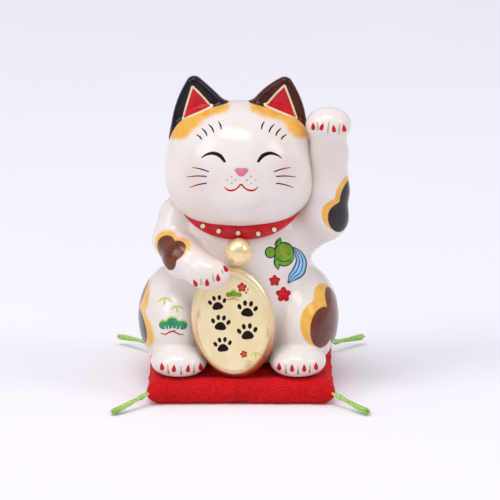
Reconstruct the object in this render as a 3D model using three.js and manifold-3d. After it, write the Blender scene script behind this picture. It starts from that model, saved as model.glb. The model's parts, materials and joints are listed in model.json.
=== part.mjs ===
// A glazed beckoning cat figurine that sits on a small square cushion with four thread tassels.
// Millimetres, +Z up. The cat faces -Y, so its own left side is +X.
// The origin is the centre of the cushion's underside.
import * as THREE from "three";
import { mergeVertices } from "three/addons/utils/BufferGeometryUtils.js";
import Module from "manifold-3d";

const wasm = await Module();
wasm.setup();

// Clearances and walls
const GAP = 0.35;
const CAST_WALL = 4;
const CLOTH_WALL = 1;
const FAR = 400;

// Cushion
const CUSHION_HALF = 50;
const CUSHION_THICK = 12.6;
const CUSHION_EDGE = 6.1;
const CUSHION_CORNER = 5;
const SEAM_Z = CUSHION_THICK / 2;

// Cat levels
const SEAT_Z = CUSHION_THICK + GAP;
const NECK_Z = 93;
const NECK_TILT = 0.2;
const VENT_RADIUS = 6;
const VENT_Y = 8;

// Soft forms, each a centre and three half-widths
const BELLY = { at: [0, 3, 43], half: [40, 38, 36] };
const CHEST = { at: [0, 0, 74], half: [38, 33, 32] };
const NAPE = { at: [0, 9, 87], half: [28, 22, 18] };
const SKULL = { at: [-0.8, -5, 120], half: [39.5, 36, 34.5] };
const CHEEK = { at: [17, -12, 109], half: [20.5, 22, 16.5] };
const HAUNCH = { at: [32, 1, 35.5], half: [21.8, 37, 28.5] };
const HAUNCH_SHIFT = -1.3;
const FOOT = { at: [31.5, -32, 20], half: [15, 15, 9] };
const TAIL = { at: [8, 41, 26], half: [10, 9, 9] };
const BELL = { at: [-1, -36, 80.6], half: [7.4, 7.4, 7.4] };

// Limbs, each a chain of balls joined by tapering skins
const RAISED_ARM = [
  { at: [34, -4, 84], r: 12 },
  { at: [44.5, -8, 92.5], r: 12.3 },
  { at: [46.8, -9, 107], r: 10.4 },
  { at: [48, -10, 126], r: 8.8 },
  { at: [46.3, -15, 144], r: 11.2 },
];
const LOWERED_ARM = [
  { at: [-33, -4, 86], r: 11.5 },
  { at: [-36, -10, 79], r: 12 },
  { at: [-29, -27, 73], r: 10 },
  { at: [-17.5, -37, 69.5], r: 9.5 },
];

// Ears: base corners and tip in the plane of the ear, seen from the front
const EAR_THICK = 7;
const EAR_BACK_Y = 1;
const EAR_BEVEL = 2;
const EAR_RIGHT = { outer: [-34, 137], inner: [-8, 146], tip: [-25, 165.5] };
const EAR_LEFT = { outer: [34, 137], inner: [8, 146], tip: [23, 164.5] };

// Collar ring
const COLLAR_RADIUS = 31.5;
const COLLAR_BAND = 3.8;
const COLLAR_SQUASH = 0.93;
const COLLAR_Z = 96;

// Oval coin, standing on the cushion and leaning back on the belly
const COIN_HALF_WIDTH = 22;
const COIN_HALF_HEIGHT = 29.8;
const COIN_THICK = 3;
const COIN_BEVEL = 1;
const COIN_AT = [-4, -39, 43];
const COIN_ROLL = 0.15;
const COIN_LEAN = 0.1;

// Tassels: a stub from the corner to a knot, then a flared brush of thread
const STUB_RADIUS = 0.9;
const KNOT_RADIUS = 2;
const KNOT_REACH = 4.6;
const TASSEL_REACH = 26;
const TASSEL_NECK = 1.3;
const TASSEL_FLARE = 2.7;
const TASSEL_Z = SEAM_Z;
const FRONT_DROOP = 0.13;
const REAR_DROOP = 0.09;

// Segments round a form
const FINE = 20;
const COARSE = 12;

const material = (color, roughness, metalness = 0) =>
  new THREE.MeshStandardMaterial({ color, roughness, metalness });
const WHITE_GLAZE = material("#f4efe6", 0.12);
const BLACK_GLAZE = material("#1b1116", 0.1);
const BROWN_GLAZE = material("#4a2415", 0.12);
const RED_ENAMEL = material("#b3101f", 0.2);
const GOLD = material("#d2ae5a", 0.3, 0.8);
const RED_CREPE = material("#b8161f", 0.85);
const WADDING = material("#efeae0", 0.95);
const GREEN_THREAD = material("#a8d9a0", 0.8);

// A closed geometry as a solid that can be joined and cut.
function solid(geometry) {
  const bare = geometry.clone();
  bare.deleteAttribute("normal");
  bare.deleteAttribute("uv");
  const merged = mergeVertices(bare, 1e-4);
  const corners = merged.index.array;
  const kept = [];
  for (let i = 0; i < corners.length; i += 3) {
    const [a, b, c] = corners.slice(i, i + 3);
    if (a !== b && b !== c && c !== a) kept.push(a, b, c);
  }
  return new wasm.Manifold(
    new wasm.Mesh({
      numProp: 3,
      vertProperties: merged.attributes.position.array,
      triVerts: new Uint32Array(kept),
    }),
  );
}

function namedMesh(name, shape, skin) {
  const made = shape.getMesh();
  const geometry = new THREE.BufferGeometry();
  geometry.setAttribute("position", new THREE.BufferAttribute(made.vertProperties, 3));
  geometry.setIndex(new THREE.BufferAttribute(made.triVerts, 1));
  const mesh = new THREE.Mesh(geometry, skin);
  mesh.name = name;
  return mesh;
}

const joined = (shapes) => shapes.reduce((whole, shape) => whole.add(shape));
const cutBy = (shape, cutters) => cutters.reduce((left, cutter) => left.subtract(cutter), shape);

// An ellipsoid, grown outwards (or inwards where grow is negative). side -1 mirrors it to -X.
function ellipsoid({ at, half }, grow = 0, side = 1, shift = 0) {
  const geometry = new THREE.SphereGeometry(1, FINE, FINE / 2);
  geometry.rotateX(Math.PI / 2);
  geometry.scale(half[0] + grow, half[1] + grow, half[2] + grow);
  geometry.translate(side * at[0] + shift, at[1], at[2]);
  return solid(geometry);
}

// The slab of space between two levels, which rises towards the back where it is tilted.
function between(low, high, tilt = 0) {
  const geometry = new THREE.BoxGeometry(FAR, FAR, high - low);
  geometry.translate(0, 0, (high - low) / 2);
  geometry.rotateX(tilt);
  geometry.translate(0, 0, low);
  return solid(geometry);
}

// Turns a shape made along +Z so that it runs from a point along a direction.
function aim(geometry, from, direction) {
  const turn = new THREE.Quaternion();
  turn.setFromUnitVectors(new THREE.Vector3(0, 0, 1), direction.clone().normalize());
  geometry.applyQuaternion(turn);
  geometry.translate(from.x, from.y, from.z);
  return solid(geometry);
}

// Two balls and the cone that touches both.
function taperedCapsule(a, b, grow = 0) {
  const from = new THREE.Vector3(...a.at);
  const along = new THREE.Vector3(...b.at).sub(from);
  const length = along.length();
  const lean = Math.asin((a.r - b.r) / length);
  const profile = [];
  const arc = (radius, height, start, end) => {
    const steps = 4;
    for (let i = 0; i <= steps; i += 1) {
      const angle = start + ((end - start) * i) / steps;
      const radial = Math.max(0, radius * Math.cos(angle));
      profile.push(new THREE.Vector2(radial, height + radius * Math.sin(angle)));
    }
  };
  arc(a.r + grow, 0, -Math.PI / 2, lean);
  arc(b.r + grow, length, lean, Math.PI / 2);
  profile[0].x = 0;
  profile.at(-1).x = 0;
  const geometry = new THREE.LatheGeometry(profile, COARSE);
  geometry.rotateX(Math.PI / 2);
  return aim(geometry, from, along);
}

const limb = (balls, grow = 0) =>
  joined(balls.slice(1).map((ball, i) => taperedCapsule(balls[i], ball, grow)));

// Outer forms of the castings
const torsoForm = (grow = 0) =>
  joined([ellipsoid(BELLY, grow), ellipsoid(CHEST, grow), ellipsoid(NAPE, grow)]);
const headForm = (grow = 0) =>
  joined([ellipsoid(SKULL, grow), ellipsoid(CHEEK, grow), ellipsoid(CHEEK, grow, -1)]);
const haunchForm = (side, grow = 0) => ellipsoid(HAUNCH, grow, side, HAUNCH_SHIFT);
const footForm = (side, grow = 0) => ellipsoid(FOOT, grow, side, HAUNCH_SHIFT / 2);

const aboveSeat = between(SEAT_Z, SEAT_Z + FAR);
const aboveNeck = between(NECK_Z + GAP / 2, NECK_Z + FAR, NECK_TILT);
const belowNeck = aboveSeat.subtract(between(NECK_Z - GAP / 2, NECK_Z + FAR, NECK_TILT));

function ventHole() {
  const geometry = new THREE.CylinderGeometry(VENT_RADIUS, VENT_RADIUS, 4 * CAST_WALL, FINE);
  geometry.rotateX(Math.PI / 2);
  geometry.translate(0, VENT_Y, SEAT_Z + CAST_WALL);
  return solid(geometry);
}

function torso() {
  const hollow = torsoForm(-CAST_WALL).intersect(between(SEAT_Z + CAST_WALL, FAR));
  return cutBy(torsoForm().intersect(belowNeck), [hollow, ventHole()]);
}

function head() {
  return headForm().intersect(aboveNeck).subtract(headForm(-CAST_WALL));
}

// A flat triangle with bowed edges, thickened and rounded over.
function earForm({ outer, inner, tip }, grow = 0) {
  const bow = 2.2;
  const outward = Math.sign(outer[0]);
  const shape = new THREE.Shape();
  shape.moveTo(...outer);
  shape.lineTo(...inner);
  shape.quadraticCurveTo(
    (inner[0] + tip[0]) / 2 - outward * bow,
    (inner[1] + tip[1]) / 2 + bow,
    ...tip,
  );
  shape.quadraticCurveTo(
    (outer[0] + tip[0]) / 2 + outward * bow,
    (outer[1] + tip[1]) / 2,
    ...outer,
  );
  const geometry = new THREE.ExtrudeGeometry(shape, {
    depth: EAR_THICK - 2 * EAR_BEVEL,
    bevelThickness: EAR_BEVEL + grow,
    bevelSize: EAR_BEVEL + grow,
    bevelSegments: 3,
    curveSegments: 6,
  });
  geometry.rotateX(Math.PI / 2);
  geometry.translate(0, EAR_BACK_Y, 0);
  return solid(geometry);
}

function collarForm(grow = 0) {
  const geometry = new THREE.TorusGeometry(COLLAR_RADIUS, COLLAR_BAND + grow, COARSE, 32);
  geometry.scale(1, COLLAR_SQUASH, 1);
  geometry.rotateX(NECK_TILT);
  geometry.translate(0, 0, COLLAR_Z);
  return solid(geometry);
}

function coinForm(grow = 0) {
  const outline = new THREE.Shape();
  const rim = COIN_BEVEL - grow;
  outline.absellipse(0, 0, COIN_HALF_WIDTH - rim, COIN_HALF_HEIGHT - rim, 0, 2 * Math.PI);
  const geometry = new THREE.ExtrudeGeometry(outline, {
    depth: COIN_THICK - 2 * COIN_BEVEL + 2 * grow,
    bevelThickness: COIN_BEVEL,
    bevelSize: COIN_BEVEL,
    bevelSegments: 2,
    curveSegments: FINE / 2,
  });
  geometry.translate(0, 0, -COIN_THICK / 2 + COIN_BEVEL - grow);
  geometry.rotateZ(COIN_ROLL);
  geometry.rotateX(Math.PI / 2 - COIN_LEAN);
  geometry.translate(...COIN_AT);
  return solid(geometry);
}

// A square slab with round corners and a round edge, shrunk inwards by inset.
function cushionForm(inset = 0) {
  const half = CUSHION_HALF - CUSHION_EDGE;
  const corner = Math.max(CUSHION_CORNER - CUSHION_EDGE / 2, 1);
  const outline = new THREE.Shape();
  for (let quarter = 0; quarter < 4; quarter += 1) {
    const start = (quarter * Math.PI) / 2;
    const middle = start + Math.PI / 4;
    const reach = (half - corner) * Math.SQRT2;
    outline.absarc(reach * Math.cos(middle), reach * Math.sin(middle), corner, start, start + Math.PI / 2);
  }
  outline.closePath();
  const edge = CUSHION_EDGE - inset;
  const geometry = new THREE.ExtrudeGeometry(outline, {
    depth: CUSHION_THICK - 2 * CUSHION_EDGE,
    bevelThickness: edge,
    bevelSize: edge,
    bevelSegments: 3,
    curveSegments: 3,
  });
  geometry.translate(0, 0, CUSHION_EDGE);
  return solid(geometry);
}

function cushionPanels() {
  const skin = cushionForm().subtract(cushionForm(CLOTH_WALL));
  return {
    top: skin.intersect(between(SEAM_Z + GAP / 2, FAR)),
    bottom: skin.intersect(between(-FAR, SEAM_Z - GAP / 2)),
    stuffing: cushionForm(CLOTH_WALL + GAP),
  };
}

// One corner's thread stub with its knot, and the tassel that hangs from the knot.
function cornerThread(sideX, sideY) {
  const droop = sideY < 0 ? FRONT_DROOP : REAR_DROOP;
  const along = new THREE.Vector3(sideX, sideY, -droop * Math.SQRT2).normalize();
  const inset = CUSHION_CORNER * (1 - Math.SQRT1_2) - 2 * GAP;
  const corner = new THREE.Vector3(
    sideX * (CUSHION_HALF - inset),
    sideY * (CUSHION_HALF - inset),
    TASSEL_Z,
  );
  const knot = corner.clone().addScaledVector(along, KNOT_REACH);
  const start = { at: corner.clone().addScaledVector(along, STUB_RADIUS).toArray(), r: STUB_RADIUS };
  const ball = { at: knot.toArray(), r: KNOT_RADIUS };
  const tie = taperedCapsule(start, ball);
  const length = TASSEL_REACH - KNOT_REACH;
  const neck = KNOT_RADIUS + GAP;
  const profile = [
    [0, neck],
    [TASSEL_NECK, neck + 0.3],
    [TASSEL_NECK * 1.4, neck + 2],
    [TASSEL_FLARE * 0.8, length * 0.55],
    [TASSEL_FLARE, length * 0.85],
    [TASSEL_FLARE * 0.8, length],
    [0, length],
  ].map((point) => new THREE.Vector2(...point));
  const brush = new THREE.LatheGeometry(profile, COARSE);
  brush.rotateX(Math.PI / 2);
  return { tie, tassel: aim(brush, knot, along) };
}

const group = new THREE.Group();
const add = (name, shape, skin) => group.add(namedMesh(name, shape, skin));

add("torso", torso(), WHITE_GLAZE);
add("head", head(), WHITE_GLAZE);

for (const [name, ear, skin] of [
  ["ear_right", EAR_RIGHT, BLACK_GLAZE],
  ["ear_left", EAR_LEFT, BROWN_GLAZE],
]) {
  add(name, cutBy(earForm(ear), [headForm(GAP)]), skin);
}

for (const [name, side] of [
  ["right", -1],
  ["left", 1],
]) {
  const haunch = haunchForm(side).intersect(aboveSeat);
  const foot = footForm(side).intersect(aboveSeat);
  add(`haunch_${name}`, cutBy(haunch, [torsoForm(GAP), coinForm(GAP)]), WHITE_GLAZE);
  const beside = [haunchForm(side, GAP), torsoForm(GAP), coinForm(GAP)];
  add(`foot_${name}`, cutBy(foot, beside), WHITE_GLAZE);
}

const haunches = joined([haunchForm(1, GAP), haunchForm(-1, GAP)]);
const trunk = joined([torsoForm(GAP), headForm(GAP)]);
const collar = collarForm().subtract(trunk);
add("collar", collar, RED_ENAMEL);
add("bell", cutBy(ellipsoid(BELL), [torsoForm(GAP), collarForm(GAP), coinForm(GAP)]), GOLD);
add("koban_coin", cutBy(coinForm(), [torsoForm(GAP)]).intersect(aboveSeat), GOLD);
add("tail", cutBy(ellipsoid(TAIL), [torsoForm(GAP), haunches]).intersect(aboveSeat), WHITE_GLAZE);

const ears = joined([earForm(EAR_LEFT, GAP), earForm(EAR_RIGHT, GAP)]);
const armCutters = [trunk, haunches, collarForm(GAP), coinForm(GAP), ears];
add("raised_arm", cutBy(limb(RAISED_ARM), armCutters), WHITE_GLAZE);
add("lowered_arm", cutBy(limb(LOWERED_ARM), armCutters), WHITE_GLAZE);

const panels = cushionPanels();
add("cushion_top_panel", panels.top, RED_CREPE);
add("cushion_bottom_panel", panels.bottom, RED_CREPE);
add("cushion_stuffing", panels.stuffing, WADDING);

for (const [name, sideX, sideY] of [
  ["front_right", -1, -1],
  ["front_left", 1, -1],
  ["rear_right", -1, 1],
  ["rear_left", 1, 1],
]) {
  const { tie, tassel } = cornerThread(sideX, sideY);
  add(`tie_${name}`, tie, GREEN_THREAD);
  add(`tassel_${name}`, tassel, GREEN_THREAD);
}

export default group;
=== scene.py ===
"""A glazed beckoning cat that sits on a red crepe cushion with four thread tassels.

The forms are worked in millimetres and written to the meshes in metres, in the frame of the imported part.
Left and right are the cat's own: its left side is +X, and it faces -Y.
"""
import json
import math

import bmesh
import bpy
import numpy as np
from mathutils import Matrix, Vector
from mathutils.bvhtree import BVHTree


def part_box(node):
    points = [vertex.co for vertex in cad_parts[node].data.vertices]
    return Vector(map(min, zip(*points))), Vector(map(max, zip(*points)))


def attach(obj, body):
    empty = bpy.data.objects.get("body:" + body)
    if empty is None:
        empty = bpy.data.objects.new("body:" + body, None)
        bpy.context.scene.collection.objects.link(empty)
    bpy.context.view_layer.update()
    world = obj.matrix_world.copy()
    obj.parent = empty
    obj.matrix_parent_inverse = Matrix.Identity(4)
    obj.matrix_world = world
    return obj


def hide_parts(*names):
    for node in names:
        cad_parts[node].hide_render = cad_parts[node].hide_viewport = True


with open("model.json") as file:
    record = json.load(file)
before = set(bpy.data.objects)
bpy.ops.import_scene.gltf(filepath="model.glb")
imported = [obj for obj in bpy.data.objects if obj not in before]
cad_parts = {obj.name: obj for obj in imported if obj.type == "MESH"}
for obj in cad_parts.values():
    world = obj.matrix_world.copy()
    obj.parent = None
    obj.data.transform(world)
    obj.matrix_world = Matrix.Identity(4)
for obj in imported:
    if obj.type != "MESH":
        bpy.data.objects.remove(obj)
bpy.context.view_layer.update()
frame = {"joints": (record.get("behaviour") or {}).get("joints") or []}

MM = 0.001


def box_mm(node):
    """The lowest corner, highest corner and middle of a CAD node, in millimetres."""
    low, high = (np.array(corner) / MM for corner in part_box(node))
    return low, high, (low + high) / 2


def unit(v):
    return v / np.linalg.norm(v)


def linked(name, data):
    """A new object in the scene."""
    obj = bpy.data.objects.new(name, data)
    bpy.context.scene.collection.objects.link(obj)
    return obj


# ---- camera

TURN = 2 * math.pi
VIEW_ELEVATION = math.radians(14.8)
VIEW_DISTANCE = 2.2
VIEW_TARGET = Vector((0.0049, 0.0, 0.0721))
VIEW_WIDTH = 0.2675
# Up in the picture, and back from the target towards the camera
UPWARD = np.array([0, math.sin(VIEW_ELEVATION), math.cos(VIEW_ELEVATION)])
BACK = Vector((0, -math.cos(VIEW_ELEVATION), math.sin(VIEW_ELEVATION)))
SENSOR = 36.0


def make_camera():
    data = bpy.data.cameras.new("camera")
    data.sensor_width = SENSOR
    data.lens = SENSOR * VIEW_DISTANCE / VIEW_WIDTH
    data.clip_start, data.clip_end = 0.01, 20
    camera = linked("camera", data)
    camera.location = VIEW_TARGET + BACK * VIEW_DISTANCE
    camera.rotation_euler = (-BACK).to_track_quat("-Z", "Y").to_euler()
    bpy.context.scene.camera = camera


make_camera()

# ---- fields: distances in millimetres


def ellipsoid(p, at, half):
    """About the distance to an ellipsoid's surface, negative inside."""
    q = p - np.asarray(at, float)
    half = np.asarray(half, float)
    k0 = np.linalg.norm(q / half, axis=1)
    k1 = np.linalg.norm(q / half**2, axis=1)
    return np.where(k1 < 1e-6, -half.min(), k0 * (k0 - 1) / np.maximum(k1, 1e-6))


def ball(p, at, radius):
    return np.linalg.norm(p - np.asarray(at, float), axis=1) - radius


def limb(p, balls):
    """The distance to a chain of balls joined by tapering skins; a ball is (x, y, z, radius)."""
    found = None
    for a, b in zip(balls[:-1], balls[1:]):
        start, end = np.array(a[:3], float), np.array(b[:3], float)
        along = end - start
        share = np.clip((p - start) @ along / (along @ along), 0, 1)
        share = share * share * (3 - 2 * share) * 0.35 + share * 0.65
        middle = start + share[:, None] * along
        d = np.linalg.norm(p - middle, axis=1) - (a[3] + share * (b[3] - a[3]))
        found = d if found is None else join(found, d, 3.0)
    return found


def join(a, b, soft):
    """The union of two fields, with a fillet about soft mm wide."""
    h = np.clip(0.5 + 0.5 * (b - a) / soft, 0, 1)
    return b + (a - b) * h - soft * h * (1 - h)


def keep_inside(a, b, soft):
    """The part of a that is inside b, with a rounded edge."""
    return -join(-a, -b, soft)


def mirrored(p):
    return p * np.array([-1.0, 1.0, 1.0])


# ---- meshes from fields


def gradient(field, p):
    reach = 0.05
    return np.stack([(field(p + step) - field(p - step)) / (2 * reach) for step in np.eye(3) * reach], 1)


def settle(field, p, times):
    """Moves points onto the field's surface."""
    for _ in range(times):
        slope = gradient(field, p)
        size = np.maximum((slope**2).sum(1), 0.05)
        p = p - slope * np.clip(field(p) / size, -2, 2)[:, None]
    return p


def relax(p, faces, times, field):
    """Evens out the points of a quad mesh while they stay on the field's surface."""
    edges = np.concatenate([faces[:, [i, (i + 1) % 4]] for i in range(4)])
    for _ in range(times):
        total = np.zeros_like(p)
        count = np.zeros(len(p))
        for a, b in ((0, 1), (1, 0)):
            np.add.at(total, edges[:, a], p[edges[:, b]])
            np.add.at(count, edges[:, a], 1)
        p = settle(field, 0.4 * p + 0.6 * total / count[:, None], 1)
    return p


def surface(field, low, high, step):
    """A closed quad mesh of the field's zero surface: one point in each grid cell that it crosses."""
    low = np.asarray(low, float)
    counts = [int(math.ceil((b - a) / step)) + 1 for a, b in zip(low, high)]
    index = np.indices(counts).reshape(3, -1).T
    value = field(low + index * step).reshape(counts)
    cells = tuple(n - 1 for n in counts)
    total = np.zeros(cells + (3,))
    count = np.zeros(cells)
    rings = []
    for axis in range(3):
        before, after = [slice(None)] * 3, [slice(None)] * 3
        before[axis], after[axis] = slice(0, -1), slice(1, None)
        a, b = value[tuple(before)], value[tuple(after)]
        place = np.argwhere((a < 0) != (b < 0))
        va, vb = a[tuple(place.T)], b[tuple(place.T)]
        point = low + place * step
        point[:, axis] += step * va / (va - vb)
        u, v = (axis + 1) % 3, (axis + 2) % 3
        ring = []
        for du, dv in ((-1, -1), (0, -1), (0, 0), (-1, 0)):
            cell = place.copy()
            cell[:, u] += du
            cell[:, v] += dv
            np.add.at(total, tuple(cell.T), point)
            np.add.at(count, tuple(cell.T), 1)
            ring.append(np.ravel_multi_index(cell.T, cells))
        ring = np.stack(ring, 1)
        ring[va >= 0] = ring[va >= 0][:, ::-1]
        rings.append(ring)
    used, faces = np.unique(np.concatenate(rings), return_inverse=True)
    faces = faces.reshape(-1, 4)
    p = total.reshape(-1, 3)[used] / count.reshape(-1)[used][:, None]
    p = settle(field, p, 3)
    p = relax(p, faces, 3, field)
    return settle(field, p, 2), faces


def piece_from(name, points, faces, material):
    """A smooth mesh object from points in millimetres."""
    mesh = bpy.data.meshes.new(name)
    mesh.from_pydata((np.asarray(points) * MM).tolist(), [], [list(map(int, f)) for f in faces])
    mesh.validate()
    mesh.shade_smooth()
    mesh.materials.append(material)
    return linked(name, mesh)


def merged(shapes):
    """One shape from several, each of them (points, faces)."""
    points, faces = [], []
    for shape_points, shape_faces in shapes:
        faces += [[len(points) + int(i) for i in face] for face in shape_faces]
        points += [tuple(point) for point in shape_points]
    return points, faces


def set_attribute(obj, name, values):
    made = obj.data.attributes.new(name, "FLOAT", "POINT")
    made.data.foreach_set("value", np.asarray(values, np.float32))


# ---- node materials


def new_material(name):
    mat = bpy.data.materials.new(name)
    mat.use_nodes = True
    return mat, mat.node_tree, mat.node_tree.nodes["Principled BSDF"]


def feed(tree, made, inputs):
    """Sets a node's inputs; each is a number, a colour or another node's output."""
    for key, value in inputs.items():
        if isinstance(value, bpy.types.NodeSocket):
            tree.links.new(value, made.inputs[key])
        else:
            made.inputs[key].default_value = value


def node(tree, kind, inputs, **settings):
    made = tree.nodes.new(kind)
    for key, value in settings.items():
        setattr(made, key, value)
    feed(tree, made, inputs)
    return made


def noise(tree, scale, detail=2.0, stretch=None):
    """Noise over the object, from 0 to 1; scale is in features per metre."""
    where = node(tree, "ShaderNodeTexCoord", {}).outputs["Object"]
    if stretch:
        where = node(tree, "ShaderNodeMapping", {"Vector": where, "Scale": stretch}).outputs[0]
    return node(tree, "ShaderNodeTexNoise", {"Vector": where, "Scale": scale, "Detail": detail}).outputs[0]


def spread(tree, value, low, high, to_low, to_high, smooth=False):
    kind = "SMOOTHSTEP" if smooth else "LINEAR"
    inputs = {"Value": value, "From Min": low, "From Max": high, "To Min": to_low, "To Max": to_high}
    return node(tree, "ShaderNodeMapRange", inputs, interpolation_type=kind).outputs[0]


def clouds(tree, scale, detail, low=0.3):
    """Soft clouds from 0 to 1."""
    return spread(tree, noise(tree, scale, detail), low, 1 - low, 0, 1, True)


def maths(tree, operation, a, b):
    return node(tree, "ShaderNodeMath", {0: a, 1: b}, operation=operation).outputs[0]


def mix(tree, share, a, b):
    """A colour from a to b."""
    a, b = (c if isinstance(c, bpy.types.NodeSocket) else (*c, 1) for c in (a, b))
    return node(tree, "ShaderNodeMix", {0: share, 6: a, 7: b}, data_type="RGBA").outputs[2]


def bump(tree, height, strength, distance):
    inputs = {"Height": height, "Strength": strength, "Distance": distance}
    return node(tree, "ShaderNodeBump", inputs).outputs[0]


def gloss(tree, bsdf, roughness, coat, shine):
    """Roughness that wanders a little, and a waviness of the glaze that only shows in its highlights."""
    feed(tree, bsdf, {
        "Roughness": spread(tree, noise(tree, 160, 3), 0.3, 0.7, *roughness),
        "Normal": bump(tree, noise(tree, 420, 1), 0.12, 0.0002),
        "Coat Weight": coat,
        "Coat Roughness": 0.04,
        "Specular IOR Level": shine,
    })


def enamel(name, colour, deep, roughness=(0.12, 0.2), coat=0.08, shine=0.2):
    """Glassy colour that is a little deeper where it pooled."""
    mat, tree, bsdf = new_material(name)
    feed(tree, bsdf, {"Base Color": mix(tree, clouds(tree, 260, 3), colour, deep)})
    gloss(tree, bsdf, roughness, coat, shine)
    return mat


def lustre(name, colour, deep, roughness, grain, edge=None):
    """Fired gold: satin, mottled, with a fine brushed grain. Where the mesh says so it turns to edge: a dark
    line along the groove, and a painted reflection of the red cushion on the lower rim.
    """
    mat, tree, bsdf = new_material(name)
    cloud = clouds(tree, 120, 4)
    fine = noise(tree, grain, 3, (1, 1, 0.35))
    tint = mix(tree, cloud, colour, deep)
    if edge:
        groove_line_and_painted_reflection = node(tree, "ShaderNodeAttribute", {}, attribute_name="groove_line_and_painted_reflection").outputs["Fac"]
        tint = mix(tree, groove_line_and_painted_reflection, tint, edge)
    feed(tree, bsdf, {
        "Base Color": tint,
        "Roughness": spread(tree, fine, 0.3, 0.7, *roughness),
        "Normal": bump(tree, noise(tree, 300, 0), 0.1, 0.0002),
        "Metallic": 0.6,
        "Coat Weight": 0.3,
        "Coat Roughness": 0.12,
    })
    return mat


WHITE = (0.82, 0.735, 0.67)
WHITE_THIN = (0.85, 0.785, 0.735)
OCHRE = (0.86, 0.42, 0.045)
OCHRE_PALE = (0.90, 0.52, 0.11)
BLACK = (0.022, 0.012, 0.020)
BROWN = (0.115, 0.022, 0.008)
BISQUE = (0.72, 0.65, 0.56)
BLUSH = (0.83, 0.46, 0.42)


def painted_glaze():
    """White glaze with the coat's patches. Each point of the mesh carries how far outside a patch it is."""
    mat, tree, bsdf = new_material("painted_white_glaze")

    def amount(patch, wobble, edge):
        outside = node(tree, "ShaderNodeAttribute", {}, attribute_name=patch).outputs["Fac"]
        drift = spread(tree, noise(tree, 330, 2), 0, 1, -wobble, wobble)
        return spread(tree, maths(tree, "ADD", outside, drift), -edge, edge, 1, 0, True)

    ivory = mix(tree, clouds(tree, 45, 2, 0.35), WHITE, WHITE_THIN)
    cloudy = clouds(tree, 210, 3)
    colour = mix(tree, maths(tree, "MULTIPLY", amount("blush", 0.1, 1), 0.3), ivory, BLUSH)
    colour = mix(tree, amount("ochre", 0.35, 1), colour, mix(tree, cloudy, OCHRE, OCHRE_PALE))
    brown = mix(tree, cloudy, BROWN, tuple(1.5 * c for c in BROWN))
    colour = mix(tree, amount("brown", 0.12, 0.25), colour, brown)
    colour = mix(tree, amount("black", 0.12, 0.25), colour, BLACK)
    bare = amount("bare", 0.2, 0.5)
    colour = mix(tree, bare, colour, BISQUE)
    glossy = spread(tree, noise(tree, 160, 3), 0.3, 0.7, 0.16, 0.22)
    feed(tree, bsdf, {
        "Base Color": colour,
        "Roughness": maths(tree, "MAXIMUM", glossy, maths(tree, "MULTIPLY", bare, 0.8)),
        "Normal": bump(tree, noise(tree, 420, 1), 0.1, 0.0002),
        "Specular IOR Level": 0.45,
    })
    return mat


# Each enamel: its colour, its colour where it pooled and its slot, then roughness, coat and shine if special
ENAMELS = {
    "black_glaze": ((0.018, 0.009, 0.015), (0.010, 0.004, 0.008), "black_glaze", (0.1, 0.16)),
    "brown_glaze": ((0.085, 0.016, 0.006), (0.040, 0.007, 0.002), "brown_glaze", (0.1, 0.16)),
    "red_enamel": ((0.66, 0.012, 0.022), (0.50, 0.006, 0.014), "red_enamel"),
    "cream_enamel": ((0.93, 0.80, 0.55), (0.86, 0.70, 0.45), "white_glaze"),
    "maroon_enamel": ((0.26, 0.006, 0.010), (0.20, 0.004, 0.008), "red_enamel"),
    "ink_enamel": ((0.014, 0.008, 0.007), (0.008, 0.004, 0.003), "black_glaze", (0.3, 0.4), 0, 0.12),
    "pink_enamel": ((0.76, 0.24, 0.29), (0.69, 0.18, 0.23), "red_enamel"),
    "claw_enamel": ((0.64, 0.004, 0.014), (0.48, 0.002, 0.009), "red_enamel"),
    "toe_enamel": ((0.52, 0.42, 0.22), (0.62, 0.52, 0.34), "gold_lustre"),
    "rust_enamel": ((0.40, 0.10, 0.02), (0.52, 0.20, 0.06), "brown_glaze"),
    "green_enamel": ((0.20, 0.42, 0.03), (0.10, 0.28, 0.02), None),
    "pine_enamel": ((0.05, 0.34, 0.16), (0.03, 0.25, 0.11), None),
    "leaf_enamel": ((0.50, 0.62, 0.06), (0.60, 0.72, 0.20), None),
    "edge_enamel": ((0.03, 0.06, 0.02), (0.02, 0.04, 0.015), "black_glaze"),
    "orange_enamel": ((0.72, 0.26, 0.02), (0.60, 0.18, 0.01), "brown_glaze"),
    "blue_enamel": ((0.27, 0.60, 0.88), (0.38, 0.70, 0.92), "white_glaze"),
    "navy_enamel": ((0.012, 0.05, 0.14), (0.008, 0.03, 0.09), "black_glaze"),
    "white_enamel": ((0.92, 0.90, 0.84), (0.88, 0.86, 0.80), "white_glaze"),
}
# Each golden finish: its colour, its colour where it is mottled, roughness, grain and the tint of its edge,
# which is a dark groove line and a painted reflection of the red cushion
LUSTRES = {
    "gold_lustre": ((0.97, 0.81, 0.47), (0.90, 0.69, 0.34), (0.27, 0.33), 180),
    "coin_gold": ((0.98, 0.84, 0.52), (0.93, 0.75, 0.41), (0.28, 0.36), 1200, (0.40, 0.055, 0.010)),
}
finishes = {"painted_white_glaze": (painted_glaze(), "white_glaze")}
for name, (colour, deep, slot, *special) in ENAMELS.items():
    finishes[name] = (enamel(name, colour, deep, *special), slot)
for name, values in LUSTRES.items():
    finishes[name] = (lustre(name, *values), "gold_lustre")


# ---- forms of the cat

SEAT = box_mm("torso")[0][2]

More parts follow.
